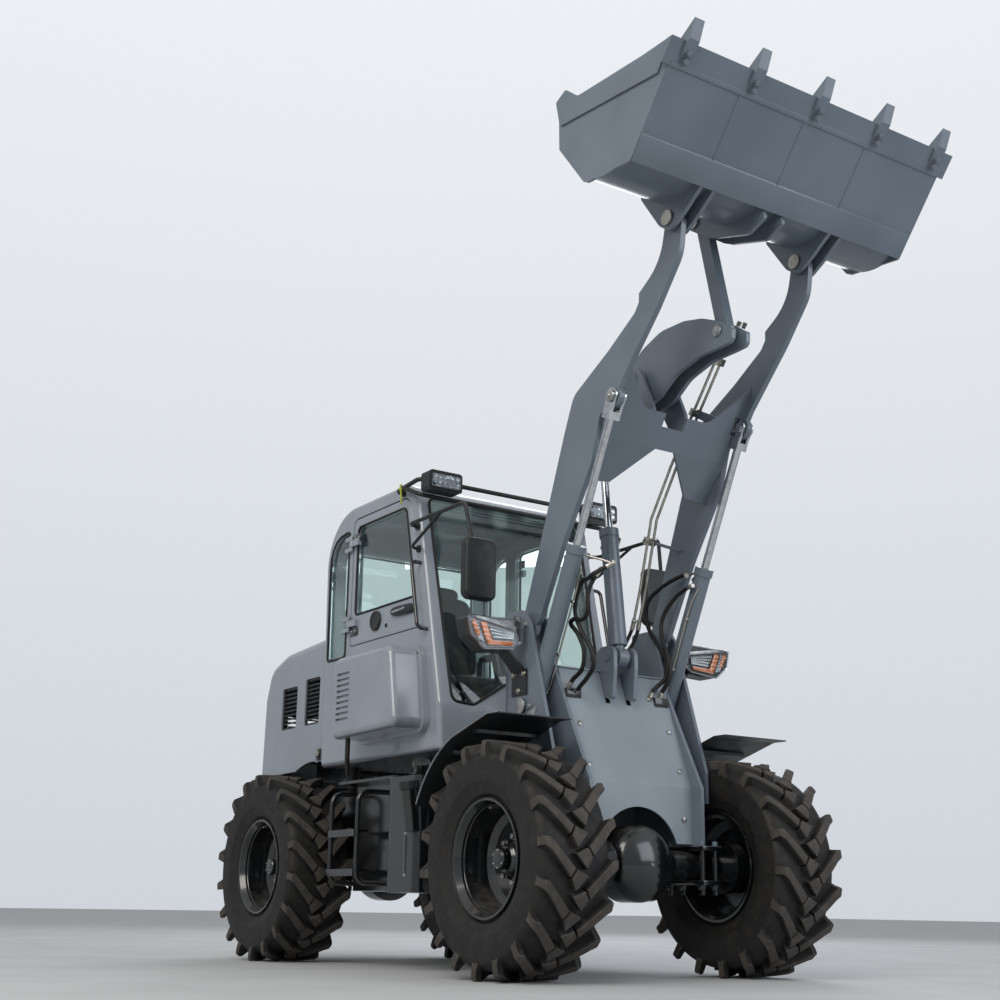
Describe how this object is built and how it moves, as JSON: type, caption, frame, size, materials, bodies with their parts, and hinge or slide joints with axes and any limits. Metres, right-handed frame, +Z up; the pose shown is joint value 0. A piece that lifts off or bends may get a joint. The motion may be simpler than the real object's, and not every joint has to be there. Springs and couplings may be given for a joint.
{
  "type": "articulated wheel loader",
  "caption": "Compact articulated wheel loader with a glazed cab, raised Z-bar boom, toothed bucket, lug tyres, rear hood, tanks and ladders.",
  "frame": {"origin": "On the ground, under the middle of the bounding box.", "axes": "+X forward towards the bucket, +Y to the machine's left, +Z up."},
  "size_m": [4.884, 1.852, 4.19],
  "materials": {
    "slate_paint": "satin slate paint, weathered",
    "light_grey_paint": "satin light grey paint",
    "cab_paint": "gloss mid grey paint",
    "black_paint": "satin black chassis paint",
    "cast_iron": "painted casting",
    "chrome": "hard chromed rod",
    "zinc": "zinc plated",
    "tyre": "dusty tyre tread",
    "rubber": "black rubber",
    "black_plastic": "moulded black plastic",
    "vinyl": "black vinyl seat cover",
    "red_lens": "red lens",
    "clear_glass": "clear lamp lens",
    "tinted_glass": "blue-green tinted safety glass"
  },
  "bodies": {
    "rear_frame": {"rear_chassis": "black_paint", "cab_mounts": "rubber", "counterweight": "cast_iron", "rear_axle": "black_paint", "powertrain": "cast_iron", "rear_lamps": "red_lens", "hydraulic_tank": "black_paint", "fuel_tank": "black_paint", "ladders": "black_paint", "cab_shell": "cab_paint", "cab_glass": "tinted_glass", "seat": "vinyl", "steering_console": "black_plastic", "ac_pod": "cab_paint", "drain_hose": "rubber", "mirrors": "black_plastic", "roof_lights": "black_plastic", "grab_handles": "black_paint"},
    "front_frame": {"front_frame": "slate_paint", "front_cover": "light_grey_paint", "front_axle": "black_paint", "front_mudguards": "black_plastic", "headlights": "black_plastic", "headlight_lenses": "clear_glass"},
    "boom": {"boom": "slate_paint", "hard_lines": "zinc"},
    "bucket_pins": {"bucket_pins": "zinc"},
    "bucket": {"bucket": "slate_paint"},
    "bellcrank_pin": {"bellcrank_pin": "zinc"},
    "bellcrank": {"bellcrank": "slate_paint"},
    "link_pin": {"link_pin": "zinc"},
    "link": {"link": "slate_paint"},
    "lift_barrel_right": {"lift_barrel_right": "slate_paint"},
    "lift_barrel_left": {"lift_barrel_left": "slate_paint"},
    "lift_rod_right": {"lift_rod_right": "chrome"},
    "lift_rod_left": {"lift_rod_left": "chrome"},
    "tilt_barrel": {"tilt_barrel": "slate_paint"},
    "tilt_rod": {"tilt_rod": "chrome"},
    "steer_barrel_right": {"steer_barrel_right": "black_paint"},
    "steer_barrel_left": {"steer_barrel_left": "black_paint"},
    "steer_rod_right": {"steer_rod_right": "chrome"},
    "steer_rod_left": {"steer_rod_left": "chrome"},
    "wheel_front_right": {"tyre_front_right": "tyre", "rim_front_right": "black_paint"},
    "wheel_front_left": {"tyre_front_left": "tyre", "rim_front_left": "black_paint"},
    "wheel_rear_right": {"tyre_rear_right": "tyre", "rim_rear_right": "black_paint"},
    "wheel_rear_left": {"tyre_rear_left": "tyre", "rim_rear_left": "black_paint"},
    "door_right": {"door_right": "cab_paint", "door_right_glass": "tinted_glass"},
    "door_left": {"door_left": "cab_paint", "door_left_glass": "tinted_glass"},
    "hood": {"hood": "cab_paint", "hood_grilles": "black_plastic", "intake_and_exhaust": "black_plastic"}
  },
  "joints": [
    {"name": "steering", "type": "hinge", "parent": "rear_frame", "child": "front_frame", "pos_m": [-0.35005, 0, 0.64], "axis": [0, 0, 1], "range_deg": [-35, 35]},
    {"name": "boom_lift", "type": "hinge", "parent": "front_frame", "child": "boom", "pos_m": [0.58595, 0, 1.711], "axis": [0, 1, 0], "range_deg": [0, 102]},
    {"name": "bucket_level", "type": "hinge", "parent": "boom", "child": "bucket_pins", "pos_m": [1.79295, 0, 3.513], "axis": [0, -1, 0], "range_deg": [0, 95.3]},
    {"name": "bucket_tilt", "type": "hinge", "parent": "bucket_pins", "child": "bucket", "pos_m": [1.79295, 0, 3.513], "axis": [0, -1, 0], "range_deg": [-75, 0]},
    {"name": "bellcrank_level", "type": "hinge", "parent": "boom", "child": "bellcrank_pin", "pos_m": [1.06195, 0, 2.993], "axis": [0, 1, 0], "range_deg": [0, 49.1]},
    {"name": "bellcrank_tilt", "type": "hinge", "parent": "bellcrank_pin", "child": "bellcrank", "pos_m": [1.06195, 0, 2.993], "axis": [0, -1, 0], "range_deg": [0, 15]},
    {"name": "link_level", "type": "hinge", "parent": "bucket", "child": "link_pin", "pos_m": [1.53095, 0, 3.713], "axis": [0, 1, 0], "range_deg": [0, 116.2]},
    {"name": "link_tilt", "type": "hinge", "parent": "link_pin", "child": "link", "pos_m": [1.53095, 0, 3.713], "axis": [0, -1, 0], "range_deg": [0, 36.6]},
    {"name": "tilt_barrel_swing", "type": "hinge", "parent": "front_frame", "child": "tilt_barrel", "pos_m": [0.79595, 0, 1.571], "axis": [0, 1, 0], "range_deg": [0, 107.3]},
    {"name": "tilt_rod_slide", "type": "slide", "parent": "tilt_barrel", "child": "tilt_rod", "axis": [-0.1156, 0, 0.9933], "range_m": [-0.1051, 0]},
    {"name": "lift_barrel_swing_right", "type": "hinge", "parent": "front_frame", "child": "lift_barrel_right", "pos_m": [0.63295, -0.421, 1.295], "axis": [0, 1, 0], "range_deg": [0, 97.2]},
    {"name": "lift_rod_slide_right", "type": "slide", "parent": "lift_barrel_right", "child": "lift_rod_right", "axis": [0.4272, 0, 0.9041], "range_m": [-0.6423, 0]},
    {"name": "lift_barrel_swing_left", "type": "hinge", "parent": "front_frame", "child": "lift_barrel_left", "pos_m": [0.63295, 0.421, 1.295], "axis": [0, 1, 0], "range_deg": [0, 97.2]},
    {"name": "lift_rod_slide_left", "type": "slide", "parent": "lift_barrel_left", "child": "lift_rod_left", "axis": [0.4272, 0, 0.9041], "range_m": [-0.6423, 0]},
    {"name": "steer_barrel_swing_right", "type": "hinge", "parent": "rear_frame", "child": "steer_barrel_right", "pos_m": [-0.77005, -0.19, 0.74], "axis": [0, 0, 1], "range_deg": [-11, 11]},
    {"name": "steer_rod_slide_right", "type": "slide", "parent": "steer_barrel_right", "child": "steer_rod_right", "axis": [1, 0, 0], "range_m": [-0.1137, 0.1137]},
    {"name": "steer_barrel_swing_left", "type": "hinge", "parent": "rear_frame", "child": "steer_barrel_left", "pos_m": [-0.77005, 0.19, 0.74], "axis": [0, 0, 1], "range_deg": [-11, 11]},
    {"name": "steer_rod_slide_left", "type": "slide", "parent": "steer_barrel_left", "child": "steer_rod_left", "axis": [1, 0, 0], "range_m": [-0.1137, 0.1137]},
    {"name": "wheel_spin_front_right", "type": "hinge", "parent": "front_frame", "child": "wheel_front_right", "pos_m": [0.88795, -0.702, 0.538], "axis": [0, 1, 0], "continuous": true},
    {"name": "wheel_spin_front_left", "type": "hinge", "parent": "front_frame", "child": "wheel_front_left", "pos_m": [0.88795, 0.702, 0.538], "axis": [0, 1, 0], "continuous": true},
    {"name": "wheel_spin_rear_right", "type": "hinge", "parent": "rear_frame", "child": "wheel_rear_right", "pos_m": [-1.58805, -0.702, 0.538], "axis": [0, 1, 0], "continuous": true},
    {"name": "wheel_spin_rear_left", "type": "hinge", "parent": "rear_frame", "child": "wheel_rear_left", "pos_m": [-1.58805, 0.702, 0.538], "axis": [0, 1, 0], "continuous": true},
    {"name": "door_swing_right", "type": "hinge", "parent": "rear_frame", "child": "door_right", "pos_m": [-1.05205, -0.616, 2], "axis": [0, 0, -1], "range_deg": [0, 100]},
    {"name": "door_swing_left", "type": "hinge", "parent": "rear_frame", "child": "door_left", "pos_m": [-1.05205, 0.616, 2], "axis": [0, 0, 1], "range_deg": [0, 100]},
    {"name": "hood_lift", "type": "hinge", "parent": "rear_frame", "child": "hood", "pos_m": [-2.37405, 0, 1.13], "axis": [0, -1, 0], "range_deg": [0, 50]}
  ],
  "couplings": [
    {"joint": "bucket_level", "follows": "boom_lift", "ratio": 0.934},
    {"joint": "bellcrank_level", "follows": "boom_lift", "ratio": 0.4806},
    {"joint": "bellcrank_tilt", "follows": "bucket_tilt", "ratio": -0.199},
    {"joint": "link_level", "follows": "boom_lift", "ratio": 1.1386},
    {"joint": "link_tilt", "follows": "bucket_tilt", "ratio": -0.488},
    {"joint": "tilt_barrel_swing", "follows": "boom_lift", "ratio": 1.051},
    {"joint": "tilt_rod_slide", "follows": "bucket_tilt", "m_per_rad": 0.0802},
    {"joint": "lift_barrel_swing_right", "follows": "boom_lift", "ratio": 0.952},
    {"joint": "lift_barrel_swing_left", "follows": "boom_lift", "ratio": 0.952},
    {"joint": "lift_rod_slide_right", "follows": "boom_lift", "m_per_rad": -0.3607},
    {"joint": "lift_rod_slide_left", "follows": "boom_lift", "m_per_rad": -0.3607},
    {"joint": "steer_barrel_swing_right", "follows": "steering", "ratio": 0.311},
    {"joint": "steer_barrel_swing_left", "follows": "steering", "ratio": 0.311},
    {"joint": "steer_rod_slide_right", "follows": "steering", "m_per_rad": 0.1858},
    {"joint": "steer_rod_slide_left", "follows": "steering", "m_per_rad": -0.1858}
  ]
}
